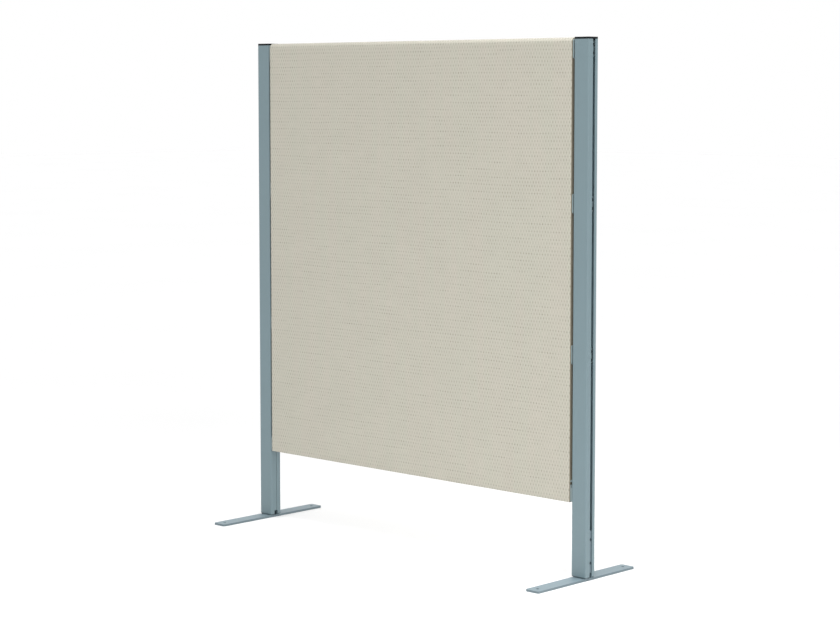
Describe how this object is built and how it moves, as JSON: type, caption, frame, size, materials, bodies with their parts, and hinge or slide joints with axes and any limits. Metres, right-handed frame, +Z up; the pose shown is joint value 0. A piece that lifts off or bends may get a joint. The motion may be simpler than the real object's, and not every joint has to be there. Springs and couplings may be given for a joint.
{
  "type": "free-standing room divider screen",
  "caption": "Free-standing room divider: a cloth-covered panel with a half-round top, held between slotted metal posts that stand on flat floor bars.",
  "frame": {"origin": "on the floor under the middle of the panel, at the centre of the bounding box's bottom", "axes": "+X along the screen to the right seen from the front, -Y towards the front, +Z up"},
  "size_m": [1.2474, 0.392, 1.4],
  "materials": {
    "post_metal": "satin blue-grey coat",
    "bar_metal": "satin blue-grey coat",
    "insert_metal": "plain, matt",
    "bracket_metal": "satin grey coat",
    "screw_steel": "blackened",
    "cap_plastic": "matt black",
    "cloth": "coarse beige weave",
    "strip_plastic": "matt",
    "block_plastic": "matt grey",
    "board": "raw hardboard",
    "frame_wood": "planed softwood",
    "infill_core": "paper honeycomb",
    "dowel_wood": "turned beech"
  },
  "bodies": {
    "root": {"foot_bar_left": "bar_metal", "foot_bar_right": "bar_metal", "foot_screws": "screw_steel", "post_insert_left": "insert_metal", "post_insert_right": "insert_metal", "clamp_screws": "screw_steel", "post_left": "post_metal", "post_right": "post_metal", "post_cap_left": "cap_plastic", "post_cap_right": "cap_plastic", "bracket_top_left": "bracket_metal", "bracket_top_right": "bracket_metal", "bracket_upper_left": "bracket_metal", "bracket_upper_right": "bracket_metal", "bracket_lower_left": "bracket_metal", "bracket_lower_right": "bracket_metal", "shoe_left": "bracket_metal", "shoe_right": "bracket_metal", "post_screws": "screw_steel", "screw_blocks": "block_plastic", "spacer_washers": "screw_steel", "bracket_wood_screws": "screw_steel", "shoe_screws": "screw_steel", "cloth_cover": "cloth", "hem_strip": "strip_plastic", "front_liner": "board", "back_liner": "board", "top_rail": "frame_wood", "bottom_rail": "frame_wood", "stile_left": "frame_wood", "stile_right": "frame_wood", "mid_rail_upper": "frame_wood", "mid_rail_lower": "frame_wood", "infill_top": "infill_core", "infill_middle": "infill_core", "infill_bottom": "infill_core", "frame_dowels": "dowel_wood"}
  },
  "joints": []
}
